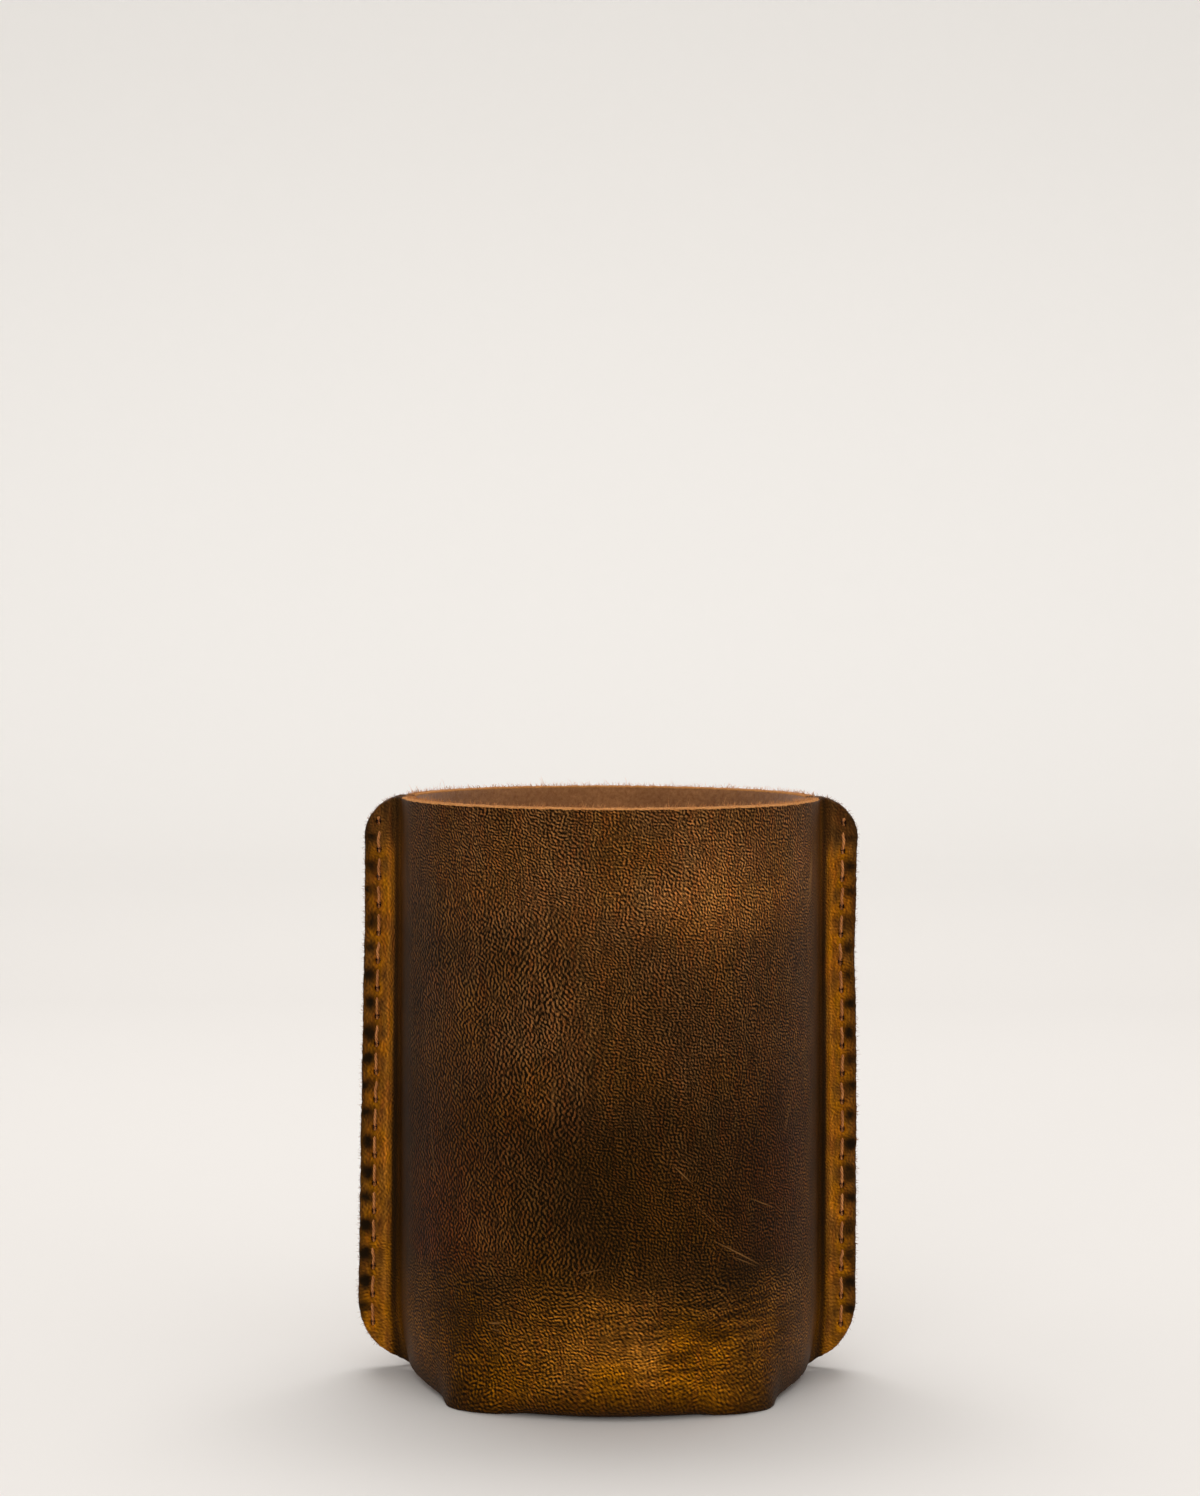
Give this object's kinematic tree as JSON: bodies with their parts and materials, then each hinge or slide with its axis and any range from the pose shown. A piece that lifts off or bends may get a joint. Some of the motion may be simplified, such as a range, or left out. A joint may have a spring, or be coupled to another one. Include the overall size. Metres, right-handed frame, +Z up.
{
  "type": "can cooler",
  "caption": "Snug leather sleeve that holds and insulates a drinks can: open top, strap under the base, stitched flange down each side.",
  "frame": {"origin": "centre of the base, at the surface that the sleeve stands on", "axes": "+Z up through the open top, -Y towards the front wall, +X and -X towards the stitched flanges"},
  "size_m": [0.0846, 0.0712, 0.0975],
  "materials": {
    "leather": "dark brown oiled pull-up leather with a fine pebble grain, satin, lighter amber where it is folded or pinched",
    "thread": "twisted tan polyester sewing thread, matt"
  },
  "bodies": {
    "root": {"leather_body": "leather", "left_needle_thread": "thread", "left_bobbin_thread": "thread", "right_needle_thread": "thread", "right_bobbin_thread": "thread"}
  },
  "joints": []
}
